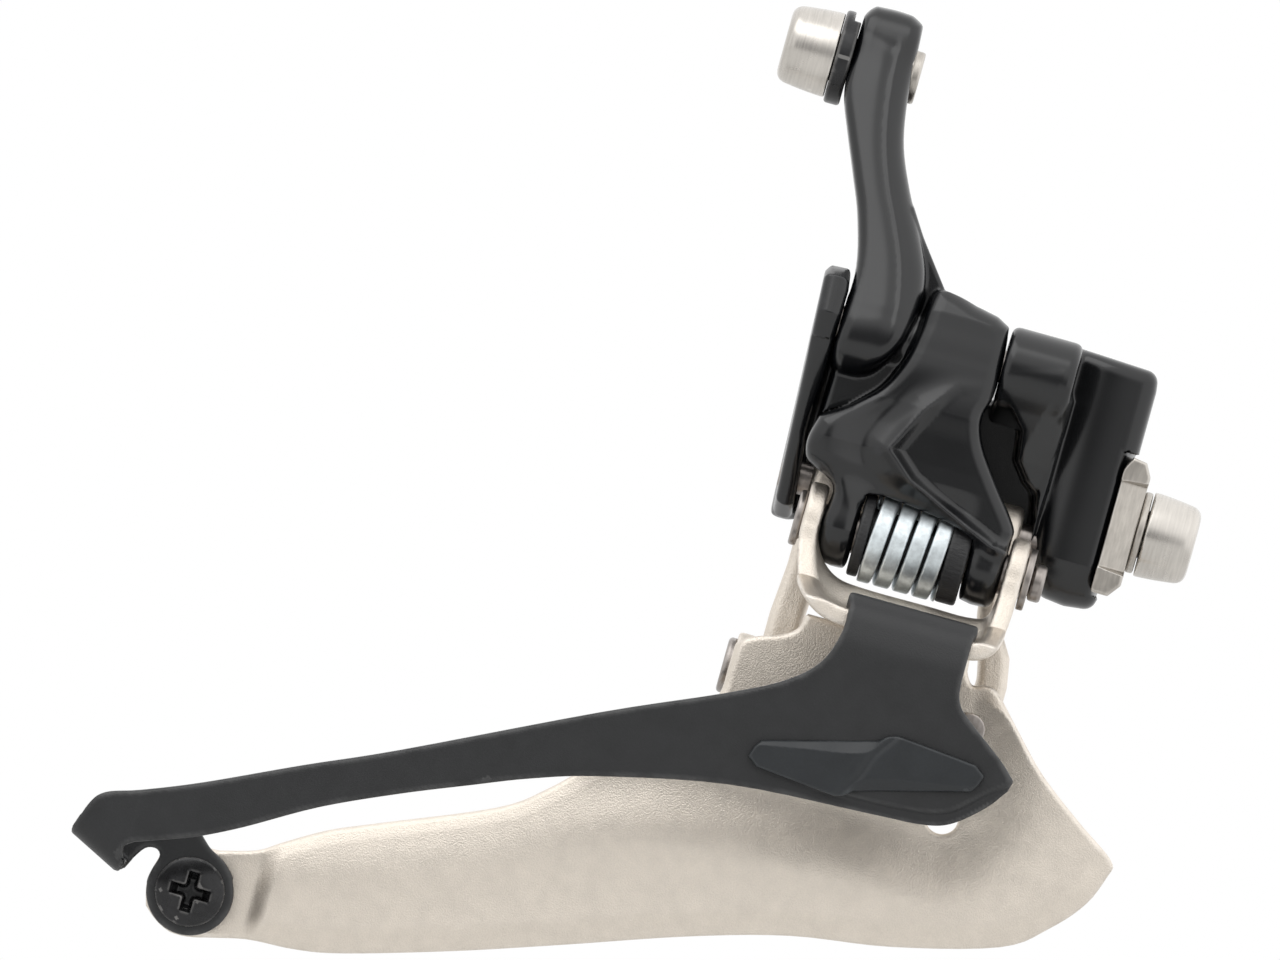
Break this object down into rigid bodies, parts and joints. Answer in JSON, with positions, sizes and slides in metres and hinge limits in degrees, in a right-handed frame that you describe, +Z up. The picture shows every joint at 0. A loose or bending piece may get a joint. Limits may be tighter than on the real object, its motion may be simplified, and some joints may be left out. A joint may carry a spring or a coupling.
{
  "type": "front derailleur",
  "caption": "Braze-on front derailleur: a cast body, outer and inner links, a cable arm and a chain cage that swings outwards to shift the chain.",
  "frame": {"origin": "crown of the body's curved mounting face, on the axis of the fixing bolt", "axes": "+X forward along the fixing bolt, +Z up along the seat tube, +Y to the bicycle's left, towards the frame"},
  "size_m": [0.0984, 0.0328, 0.1055],
  "materials": {
    "black_casting": "gloss",
    "black_plate": "satin",
    "silver_plate": "blasted",
    "stainless": "satin",
    "pin_steel": "satin",
    "spring_steel": "zinc plated",
    "black_plastic": "matt",
    "pad_plastic": "satin",
    "black_screw": "satin"
  },
  "bodies": {
    "body": {"body": "black_casting", "upper_outer_pin": "pin_steel", "upper_inner_pin": "pin_steel", "fixing_bolt": "stainless", "fixing_washer": "stainless", "radius_washer": "stainless"},
    "low_limit_screw": {"low_limit_screw": "stainless"},
    "high_limit_screw": {"high_limit_screw": "stainless"},
    "outer_link": {"outer_link": "black_casting", "cable_insert": "stainless", "cable_bolt": "stainless", "cable_washer": "black_screw", "return_spring": "spring_steel", "spring_sleeve": "black_plastic"},
    "inner_link": {"inner_link": "silver_plate"},
    "cage": {"inner_plate": "silver_plate", "outer_plate": "black_plate", "wear_pad": "pad_plastic", "tail_screw": "black_screw", "tail_nut": "stainless", "bridge_rivets": "pin_steel", "hinge_bracket": "silver_plate", "bracket_rivet": "pin_steel", "lower_outer_pin": "pin_steel", "lower_outer_clip": "pin_steel", "lower_inner_pin": "pin_steel"}
  },
  "joints": [
    {"name": "outer_link_swing", "type": "hinge", "parent": "body", "child": "outer_link", "pos_m": [-0.0232, -0.009, 0.012], "axis": [-1, 0, 0], "range_deg": [0, 36], "stiffness_Nm_per_rad": 0.25, "springref_deg": -68.75},
    {"name": "cage_pivot", "type": "hinge", "parent": "outer_link", "child": "cage", "pos_m": [-0.01865, -0.0107, -0.00743], "axis": [-1, 0, 0], "range_deg": [-36, 0]},
    {"name": "inner_link_swing", "type": "hinge", "parent": "body", "child": "inner_link", "pos_m": [-0.0182, -0.0031, -0.0037], "axis": [-1, 0, 0], "range_deg": [0, 36]},
    {"name": "low_limit_turn", "type": "hinge", "parent": "body", "child": "low_limit_screw", "pos_m": [-0.018, 0.003, 0.004], "axis": [0, -1, 0], "range_deg": [-360, 360]},
    {"name": "high_limit_turn", "type": "hinge", "parent": "body", "child": "high_limit_screw", "pos_m": [-0.0275, 0.003, 0.0106], "axis": [0, -1, 0], "range_deg": [-360, 360]}
  ],
  "couplings": [
    {"joint": "cage_pivot", "follows": "outer_link_swing", "ratio": -1},
    {"joint": "inner_link_swing", "follows": "outer_link_swing", "ratio": 1}
  ]
}
